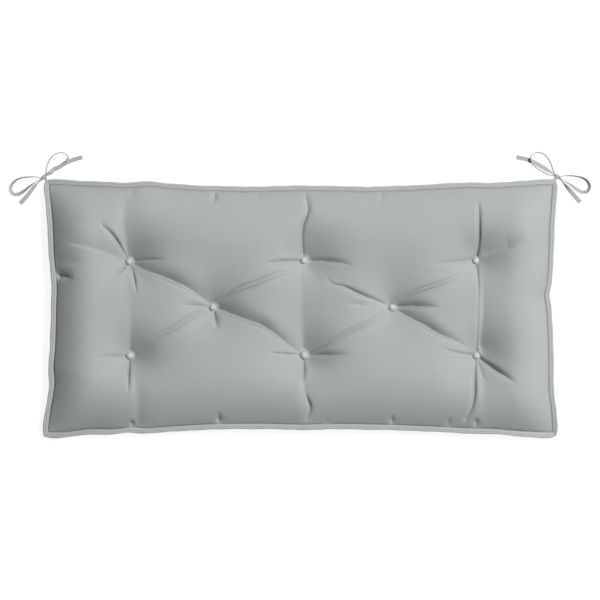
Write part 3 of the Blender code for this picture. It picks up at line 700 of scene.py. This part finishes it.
# A crease runs left to right or downwards. depth: at its start, middle and end. soft: how far the
# fuller cloth on its left slopes down to it. sharp: the same on its right. twin: distance between the
# two lines of a pinched ridge, 0 for one line.
Crease = namedtuple("Crease", "path depth soft sharp twin")
CREASES = [Crease(*row) for row in (
    # between the tufts
    (("back_left", (-300, 74), (-270, 63), (-240, 51), (-215, 39), (-192, 23), "centre_left"),
     (15, 21, 6), 13, 4, 0),
    (("centre_left", (-135, -10), (-105, -21), (-75, -32), (-50, -48), (-25, -68), "front_middle"),
     (18, 20, 8), 14, 4, 0),
    (("centre_left", (-120, 34), (-85, 47), (-45, 64), (0, 80), "back_middle"), (5, 6, 3), 2.6, 2.6, 9),
    (("front_left", (-285, -60), (-250, -42), (-205, -14), "centre_left"), (5, 6, 3), 2.6, 2.6, 9),
    (((52, 60), (58, 50), (85, 41), (115, 27), (145, 15), "centre_right"), (4, 12, 2), 4, 4, 0),
    (("front_middle", (60, -62), (90, -46), (130, -27), "centre_right"), (8, 6, 2), 2.6, 2.6, 8),
    (("centre_right", (205, -15), (235, -31), (270, -51), (305, -66), (325, -78)), (12, 19, 3), 11, 4, 0),
    (("centre_right", (225, 32), (262, 45), (300, 61), "back_right"), (4, 6, 1), 2.6, 2.6, 8),
    (((4, 80), (2, 0), (2, -80)), (4, 10, 6), 62, 60, 0),
    (((4, 70), (2, 0), "front_middle"), (3, 10, 16), 38, 14, 0),
    (("back_right", (341, 50), (340, 0), (340, -50), "front_right"), (14, 6, 15), 6, 4, 0),
    (((340, 80), (338, 0), (340, -80)), (4, 9, 6), 50, 60, 0),
    (((348, 75), (350, 0), (346, -70)), (5, 11, 15), 30, 10, 0),
    (((-330, 80), (-326, 0), (-328, -80)), (4, 10, 6), 58, 60, 0),
    (((-321, 30), (-325, -40), "front_left"), (2, 9, 15), 30, 10, 0),
    # from the back edge to the tufts, and from the tufts to the front edge
    (((-336, 215), (-339, 160), "back_left"), (1, 13, 16), 42, 9, 0),
    (((11, 218), (14, 187), (5, 158), (4, 120), "back_middle"), (4, 14, 15), 6, 4, 0),
    (((8, 190), (4, 140), "back_middle"), (1, 11, 12), 46, 10, 0),
    (((342, 198), (343, 165), (344, 130), "back_right"), (4, 15, 15), 4, 4, 0),
    (((348, 185), (350, 140), "back_right"), (1, 7, 9), 40, 14, 0),
    (("front_left", (-329, -125), (-328, -155)), (15, 14, 3), 5, 4, 0),
    (((-320, -110), (-312, -165), (-310, -222)), (4, 6, 4), 26, 8, 0),
    (("front_middle", (6, -120), (5, -150)), (15, 15, 3), 6, 4, 0),
    (((8, -110), (8, -150), (12, -200)), (5, 8, 3), 36, 10, 0),
    (((9, -152), (13, -170), (19, -190), (13, -212)), (3, 13, 3), 5, 4, 0),
    (("front_right", (334, -130), (333, -165), (328, -190), (318, -212)), (9, 12, 4), 4, 4, 0),
    (((345, -105), (350, -150), (352, -200)), (3, 6, 1), 26, 12, 0),
    # short ones that fan out from the tufts
    (((-377, 158), (-358, 139), "back_left"), (5, 15, 15), 5, 4, 0),
    (((-442, 125), (-400, 116), "back_left"), (2, 9, 10), 16, 3, 0),
    (((-374, 44), (-355, 61), "back_left"), (1, 9, 11), 4, 4, 0),
    (("back_left", (-319, 62), (-312, 20)), (13, 13, 1), 4, 4, 0),
    (("back_left", (-290, 93), (-250, 93)), (13, 12, 0), 7, 4, 0),
    (((-238, 9), (-205, 5), "centre_left"), (0, 8, 10), 7, 3, 0),
    (("centre_left", (-163, -22), (-157, -42)), (12, 10, 0), 6, 4, 0),
    (((-72, 84), (-40, 89), "back_middle"), (1, 10, 11), 5, 3, 0),
    (((-62, 80), (-25, 82), (-4, 84)), (0, 4, 2), 3, 3, 0),
    (("back_middle", (45, 90), (72, 88), (98, 83)), (14, 16, 2), 9, 4, 0),
    (((-70, -83), (-35, -87), "front_middle"), (1, 9, 11), 4, 3, 0),
    (((-52, -93), (-25, -96), (-4, -95)), (0, 4, 2), 3, 3, 0),
    (("front_middle", (45, -90), (92, -88)), (14, 15, 2), 8, 4, 0),
    (("front_middle", (32, -82), (62, -64)), (12, 12, 3), 7, 4, 0),
    (((-395, -94), (-360, -93), "front_left"), (1, 9, 12), 8, 3, 0),
    (("front_left", (-300, -78), (-268, -70)), (8, 8, 1), 18, 14, 0),
    (((78, 9), (110, 7), (146, 7)), (0, 6, 2), 9, 6, 0),
    (("centre_right", (220, 4), (264, 3)), (15, 17, 2), 9, 4, 0),
    (((250, 83), (290, 87), "back_right"), (1, 9, 10), 9, 3, 0),
    (((360, 106), (400, 121), (434, 139)), (8, 11, 0), 20, 7, 0),
    (((262, -72), (295, -84), "front_right"), (1, 8, 11), 5, 3, 0),
    (((268, -95), (300, -96), (330, -97)), (0, 4, 2), 4, 4, 0),
    (("front_right", (360, -107), (381, -122), (410, -141)), (16, 19, 2), 6, 4, 0),
    (((342, -104), (350, -130), (362, -152)), (7, 6, 0), 7, 6, 0),
    # puckers at the seam
    (((-470, 62), (-452, 61), (-430, 55)), (10, 12, 0), 9, 7, 0),
    (((-468, 92), (-440, 90), (-405, 90)), (4, 4, 0), 12, 8, 0),
    (((-322, 236), (-322, 205)), (3, 2, 0), 7, 5, 0),
    (((-164, 228), (-164, 200)), (7, 6, 0), 5, 4, 0),
    (((-80, 226), (-78, 206)), (2, 2, 0), 5, 5, 0),
    (((153, 226), (160, 202)), (4, 3, 0), 6, 5, 0),
    (((-156, -197), (-156, -225)), (0, 7, 7), 5, 4, 0),
    (((50, -208), (52, -225)), (0, 3, 4), 6, 5, 0),
    (((176, -203), (177, -225)), (0, 6, 5), 5, 5, 0),
    (((285, -206), (285, -226)), (0, 3, 4), 6, 5, 0),
    (((338, -208), (338, -226)), (0, 6, 4), 5, 5, 0),
    (((-324, -212), (-322, -230)), (0, 7, 8), 6, 6, 0))]
CREASE_POWER = 1.2
CREASE_MIX = 3.0                 # how far the deeper of two creases wins where they meet
SHALLOW = 9.0                    # height of the face above the seam below which creases fade
PATH_STEP = 4.0                  # between two points of a crease's line
FAR_OFF = 1e9


def roll(distance, reach):
    """Height of a rounded side, from 0 at the seam to 1 at its reach."""
    return 1.0 - (1.0 - np.clip(distance / reach, 0.0, 1.0))**2


def crease_path(crease):
    """Closely spaced points of the smooth line through a crease's points."""
    stops = np.array([BUTTONS.get(stop, stop) for stop in crease.path], dtype=float)
    passed = ring_lengths(stops, False)
    where = np.linspace(0.0, passed[-1], max(2, round(passed[-1] / PATH_STEP)) + 1)
    if len(stops) == 2:
        return np.stack([np.interp(where, passed, column) for column in stops.T], axis=1)
    return np.stack([smooth_through(passed, column, where) for column in stops.T], axis=1)


def nearest_on_line(x, y, points):
    """Distance to a line of points, the share of it passed there, and the side: from +1 left of it
    to -1 right of it."""
    distance = np.full_like(x, FAR_OFF)
    share = np.zeros_like(x)
    beside = np.zeros_like(x)
    pieces = len(points) - 1
    for number, (a, b) in enumerate(zip(points, points[1:])):
        run = b - a
        t = np.clip(((x - a[0]) * run[0] + (y - a[1]) * run[1]) / run.dot(run), 0.0, 1.0)
        away_x = x - a[0] - run[0] * t
        away_y = y - a[1] - run[1] * t
        here = np.hypot(away_x, away_y)
        closer = here < distance
        distance = np.where(closer, here, distance)
        share = np.where(closer, (number + t) / pieces, share)
        to_left = (run[0] * away_y - run[1] * away_x) / math.sqrt(run.dot(run))
        beside = np.where(closer, to_left, beside)
    return distance, share, np.clip(beside / (0.5 * distance + 0.5), -1.0, 1.0)


def crease_depth(x, y, crease):
    distance, share, side = nearest_on_line(x, y, crease_path(crease))
    reach = math.sqrt(crease.soft * crease.sharp) * (crease.soft / crease.sharp)**(side / 2)
    spread = crease.twin / 2 * np.sqrt(np.clip(4 * share * (1 - share), 0.0, 1.0))
    depth = np.interp(share, (0.0, 0.5, 1.0), crease.depth)
    return depth * np.exp(-(np.abs(distance - spread) / reach)**CREASE_POWER)


def hollow_share(x, y, hollow):
    """How far down a hollow a place lies, from 1 at its button to 0 far away."""
    from_x = x - BUTTONS[hollow.button][0]
    from_y = y - BUTTONS[hollow.button][1]
    across = from_x / np.where(from_x > 0, hollow.right, hollow.left)
    up = from_y / np.where(from_y > 0, hollow.up, hollow.down)
    reach = np.hypot(across, up)
    steep = STEEP_SHARE * np.exp(-reach**STEEP_POWER)
    tail = (1 - STEEP_SHARE) * np.exp(-(reach / TAIL_REACH)**TAIL_POWER)
    return steep + tail


def sitting_face(u, v, x, y, edges):
    """Height of the sitting face in mm."""
    shoulder = np.ones_like(x)
    spread = np.ones_like(x)
    for distance, reach in zip(edges, SHOULDER):
        shoulder = shoulder * roll(distance, reach)
        spread = spread * roll(distance, SPREAD)
    crown = CROWN * (SHOULDER_SHARE * shoulder + (1 - SHOULDER_SHARE) * spread)
    for hollow in HOLLOWS:
        crown = crown * (1.0 - hollow.depth / CROWN * hollow_share(x, y, hollow))
    creases = sum(crease_depth(x, y, crease)**CREASE_MIX for crease in CREASES)**(1.0 / CREASE_MIX)
    crown = crown - creases * np.clip(crown / SHALLOW, 0.0, 1.0)
    height = seam_level(u, v) + RIM / 2 + crown
    for centre_x, centre_y in BUTTONS.values():
        beyond = (np.hypot(x - centre_x, y - centre_y) - BUTTON_SEAT_RADIUS) / SEAT_BLEND
        mix = np.clip(beyond, 0.0, 1.0)
        mix = mix * mix * (3 - 2 * mix)
        height = BUTTON_SEAT_HEIGHT + (height - BUTTON_SEAT_HEIGHT) * mix
    return height


def underside(u, v, x, y, edges):
    """Height of the face that lies on the floor: 0 except near the seam and under the tufts."""
    flat = 1.0
    for distance in edges:
        flat = flat * roll(distance, UNDER_ROLL)
    height = (seam_level(u, v) - RIM / 2) * (1.0 - flat)
    for centre_x, centre_y in BUTTONS.values():
        share = np.clip(np.hypot(x - centre_x, y - centre_y) / UNDER_TUFT_RADIUS, 0.0, 1.0)
        height = height + UNDER_TUFT_DEPTH * (1.0 - share * share)**2
    return height


CELLS = (200, 100)
CROWDING = 0.35                  # 0: even rows; towards 1: rows crowd to the edges
FINE_BY_CREASE = (14.0, 6.0, 0.0)    # within these distances the mesh is halved once, twice, three times
FINE_BY_BUTTON = (42.0, 18.0, 11.5)
WIDE_CREASE = 8.0                # a crease with a softer edge than this needs no finer mesh


def crowd(value):
    """Moves rows of the unit sheet towards its edges."""
    return (1 - CROWDING) * value + CROWDING * np.sin(value * math.pi / 2)


def sheet_places(obj):
    """Points of the flat unit sheet, where they lie in the cushion, and how far from its seams."""
    flat = points_of(obj)
    x, y, edges = plan_point(flat[:, 0], flat[:, 1], WELT_WIDTH + GAP, WELT_FLARE, 0.0)
    return flat, x, y, edges


def refine(obj, crease_reach, button_reach):
    """Halves the faces of the flat sheet near creases and buttons."""
    flat, x, y, edges = sheet_places(obj)
    near = np.zeros(len(x), dtype=bool)
    for centre in BUTTONS.values():
        near |= np.hypot(x - centre[0], y - centre[1]) < button_reach
    for crease in CREASES:
        if crease.sharp < WIDE_CREASE:
            distance = nearest_on_line(x, y, crease_path(crease))[0]
            near |= distance < crease_reach + crease.twin / 2
    only(obj)
    bpy.ops.object.mode_set(mode="EDIT")
    bpy.ops.mesh.select_mode(type="FACE")
    bpy.ops.mesh.select_all(action="DESELECT")
    bpy.ops.object.mode_set(mode="OBJECT")
    chosen = [all(near[corner] for corner in face.vertices) for face in obj.data.polygons]
    obj.data.polygons.foreach_set("select", chosen)
    bpy.ops.object.mode_set(mode="EDIT")
    bpy.ops.mesh.subdivide(number_cuts=1, ngon=False)
    bpy.ops.object.mode_set(mode="OBJECT")


def make_sheet(name, fine):
    """A flat grid from -1 to 1. fine: reaches from creases and buttons for each halving."""
    bpy.ops.object.select_all(action="DESELECT")
    bpy.ops.mesh.primitive_grid_add(x_subdivisions=CELLS[0], y_subdivisions=CELLS[1], size=2.0)
    sheet = bpy.context.object
    sheet.name = name
    even = points_of(sheet)
    put_points(sheet, np.stack([crowd(even[:, 0]), crowd(even[:, 1]), even[:, 2]], axis=1))
    for crease_reach, button_reach in fine:
        refine(sheet, crease_reach, button_reach)
    return sheet


def shape_sheet(sheet, face_height):
    flat, x, y, edges = sheet_places(sheet)
    z = face_height(flat[:, 0], flat[:, 1], x, y, edges)
    put_points(sheet, np.stack([x, y, z], axis=1) * MM)


def make_cushion(material):
    """Both faces, shaped from flat sheets and bridged along the seam."""
    top = make_sheet("padded_cushion", list(zip(FINE_BY_CREASE, FINE_BY_BUTTON)))
    shape_sheet(top, sitting_face)
    under = make_sheet("under_sheet", [])
    shape_sheet(under, underside)
    only(under)
    bpy.ops.object.mode_set(mode="EDIT")
    bpy.ops.mesh.select_all(action="SELECT")
    bpy.ops.mesh.flip_normals()
    bpy.ops.object.mode_set(mode="OBJECT")
    only(top)
    under.select_set(True)
    bpy.ops.object.join()
    bpy.ops.object.mode_set(mode="EDIT")
    bpy.ops.mesh.select_mode(type="EDGE")
    bpy.ops.mesh.select_all(action="DESELECT")
    bpy.ops.mesh.select_non_manifold()
    bpy.ops.mesh.bridge_edge_loops()
    bpy.ops.mesh.select_all(action="SELECT")
    bpy.ops.mesh.normals_make_consistent(inside=False)
    bpy.ops.object.mode_set(mode="OBJECT")
    dress(top, material, "cushion_cloth", "cushion")


cover_cloth = woven("cover_cloth", (0.31, 0.328, 0.325), (0.45, 0.472, 0.468), 0.0011)
make_cushion(cover_cloth)


# Welt

WELT_CELLS = (330, 165)
# Share of the width from the outer edge, and height from the seam in mm
WELT_SECTION = np.array([
    (0.0, 0.0), (0.03, 1.3), (0.12, 2.1), (0.26, 2.45), (0.38, 2.2), (0.45, 1.75), (0.52, 2.15),
    (0.66, 2.45), (0.82, 2.3), (0.94, 1.6), (1.0, 0.6),
    (1.0, -0.6), (0.94, -1.6), (0.82, -2.3), (0.66, -2.45), (0.52, -2.15), (0.45, -1.75),
    (0.38, -2.2), (0.26, -2.45), (0.12, -2.1), (0.03, -1.3)])
# Waves of the welt's outer line and height: how far in mm, and the length of a wave
SHORT_WAVE = (0.28, 7.3)
SHORT_WAVE_DRIFT = (1.7, 41.0)
LONG_WAVE = (0.22, 17.0)
WAVE_RISE = 0.10                 # share by which a wave changes the height
STITCH_SHARE = 0.45
STITCH_PITCH = 3.6
STITCH_LENGTH = 2.7
STITCH_RADIUS = 0.32
STITCH_HEIGHT = 1.85


def rim_stations(cells):
    """The unit sheet's border, once round, anticlockwise from the front left corner."""
    long_steps = [float(crowd(-1 + 2 * i / cells[0])) for i in range(cells[0])]
    short_steps = [float(crowd(-1 + 2 * i / cells[1])) for i in range(cells[1])]
    border = ([(u, -1.0) for u in long_steps] + [(1.0, v) for v in short_steps]
              + [(-u, 1.0) for u in long_steps] + [(-1.0, -v) for v in short_steps])
    return np.array(border)


def welt_line(border, share, height, ripple=0.0):
    """Line round the welt, at a share of its width and a height from the seam."""
    u, v = border[:, 0], border[:, 1]
    x, y, edges = plan_point(u, v, WELT_WIDTH * share + ripple, WELT_FLARE * share, 1.0 - share)
    return np.stack([x, y, seam_level(u, v) + height], axis=1)


def make_welt(material):
    """A folded strip with a sewn line, swept round the seam."""
    border = rim_stations(WELT_CELLS)
    middle = welt_line(border, 0.5, 0.0)
    passed = ring_lengths(middle, True)
    place = passed[:-1]
    drift = SHORT_WAVE_DRIFT[0] * np.sin(place / SHORT_WAVE_DRIFT[1])
    short = SHORT_WAVE[0] * np.sin(place / SHORT_WAVE[1] + drift)
    lines = []
    for share, height in WELT_SECTION:
        waves = short + LONG_WAVE[0] * np.sin(place / LONG_WAVE[1] + share)
        lines.append(welt_line(border, share, height * (1 + WAVE_RISE * waves), waves * (1.0 - share)))
    rings = np.stack(lines, axis=1) * MM
    section = WELT_SECTION * (WELT_WIDTH, 1.0)
    welt = swept("sewn_welt", rings, passed * MM, ring_lengths(section * MM, True), closed=True)
    return dress(welt, material, "welt_cloth", "welt")


def make_stitches(material):
    """Short threads along the welt's sewn line, on both faces."""
    bpy.ops.object.select_all(action="DESELECT")
    bpy.ops.mesh.primitive_uv_sphere_add(segments=6, ring_count=5, radius=1.0)
    one = bpy.context.object
    shape = points_of(one)
    faces = [tuple(face.vertices) for face in one.data.polygons]
    shape = shape[:, (2, 0, 1)] * (STITCH_LENGTH / 2, STITCH_RADIUS, STITCH_RADIUS)
    bpy.data.objects.remove(one, do_unlink=True)

    border = rim_stations(WELT_CELLS)
    points = []
    for face in (1.0, -1.0):
        line = welt_line(border, STITCH_SHARE, face * STITCH_HEIGHT)
        passed = ring_lengths(line, True)
        loop = np.vstack([line, line[:1]])
        count = round(passed[-1] / STITCH_PITCH)
        where = np.arange(count) * passed[-1] / count
        centre = np.stack([np.interp(where, passed, column) for column in loop.T], axis=1)
        beyond = (where + 1.0) % passed[-1]
        ahead = np.stack([np.interp(beyond, passed, column) for column in loop.T], axis=1)
        heading = ahead - centre
        heading /= np.linalg.norm(heading, axis=1, keepdims=True)
        side = np.stack([-heading[:, 1], heading[:, 0], np.zeros(count)], axis=1)
        up = np.cross(heading, side)
        points.append(centre[:, None, :] + heading[:, None, :] * shape[None, :, 0:1]
                      + side[:, None, :] * shape[None, :, 1:2] + up[:, None, :] * shape[None, :, 2:3])
    points = np.concatenate(points)
    all_faces = [tuple(corner + number * len(shape) for corner in face)
                 for number in range(len(points)) for face in faces]
    mesh = bpy.data.meshes.new("welt_stitches")
    mesh.from_pydata((points.reshape(-1, 3) * MM).tolist(), [], all_faces)
    stitches = bpy.data.objects.new("welt_stitches", mesh)
    bpy.context.scene.collection.objects.link(stitches)
    return dress(stitches, material, "welt_cloth")


welt_cloth = woven("welt_cloth", (0.33, 0.35, 0.345), (0.50, 0.52, 0.515), 0.0011, coordinates="UV")
make_welt(welt_cloth)
make_stitches(sewing_thread("sewing_thread", (0.30, 0.315, 0.31), (0.44, 0.46, 0.455)))


# Buttons

BUTTON_STEPS = 48
PLEATS = 16
PLEAT_START = 0.75               # share of the radius outside which the cloth is gathered
PLEAT_DEPTH = 0.02               # of the radius
MERGE_DISTANCE = 0.00001
# Share of the radius, share of the height, from the top down
BUTTON_PROFILE = [
    (0.0, 1.0), (0.2, 0.985), (0.4, 0.93), (0.6, 0.82), (0.78, 0.64), (0.9, 0.46), (0.98, 0.28),
    (1.0, 0.2), (0.98, 0.1), (0.9, 0.03), (0.75, 0.0), (0.0, 0.0)]


def make_first_button():
    """Turned from its profile, with its cloth gathered in fine pleats round the side."""
    mesh = bpy.data.meshes.new("covered_button")
    points = [(r * BUTTON_RADIUS * MM, 0.0, h * BUTTON_HEIGHT * MM) for r, h in BUTTON_PROFILE]
    mesh.from_pydata(points, [(i, i + 1) for i in range(len(points) - 1)], [])
    button = bpy.data.objects.new("covered_button", mesh)
    bpy.context.scene.collection.objects.link(button)
    only(button)
    bpy.ops.object.mode_set(mode="EDIT")
    bpy.ops.mesh.select_all(action="SELECT")
    bpy.ops.mesh.spin(steps=BUTTON_STEPS, angle=2 * math.pi, center=(0.0, 0.0, 0.0), axis=(0.0, 0.0, 1.0))
    bpy.ops.mesh.select_all(action="SELECT")
    bpy.ops.mesh.remove_doubles(threshold=MERGE_DISTANCE)
    bpy.ops.mesh.normals_make_consistent(inside=False)
    bpy.ops.object.mode_set(mode="OBJECT")
    points = points_of(button)
    radius = np.hypot(points[:, 0], points[:, 1])
    angle = np.arctan2(points[:, 1], points[:, 0])
    outer = np.clip((radius / (BUTTON_RADIUS * MM) - PLEAT_START) / (1 - PLEAT_START), 0.0, 1.0)
    points[:, :2] *= (1.0 - PLEAT_DEPTH * outer * (1 + np.sin(PLEATS * angle)) / 2)[:, None]
    put_points(button, points)
    return button


def make_buttons(material):
    first = make_first_button()
    for name, (x, y) in BUTTONS.items():
        button = bpy.data.objects.new("covered_" + name, first.data.copy())
        bpy.context.scene.collection.objects.link(button)
        place = np.array((x, y, BUTTON_SEAT_HEIGHT + GAP)) * MM
        put_points(button, points_of(first) + place)
        dress(button, material, "button_cloth", "button_" + name)
    bpy.data.objects.remove(first, do_unlink=True)


button_cloth = woven("button_cloth", (0.40, 0.42, 0.415), (0.60, 0.62, 0.615), 0.0008)
make_buttons(button_cloth)
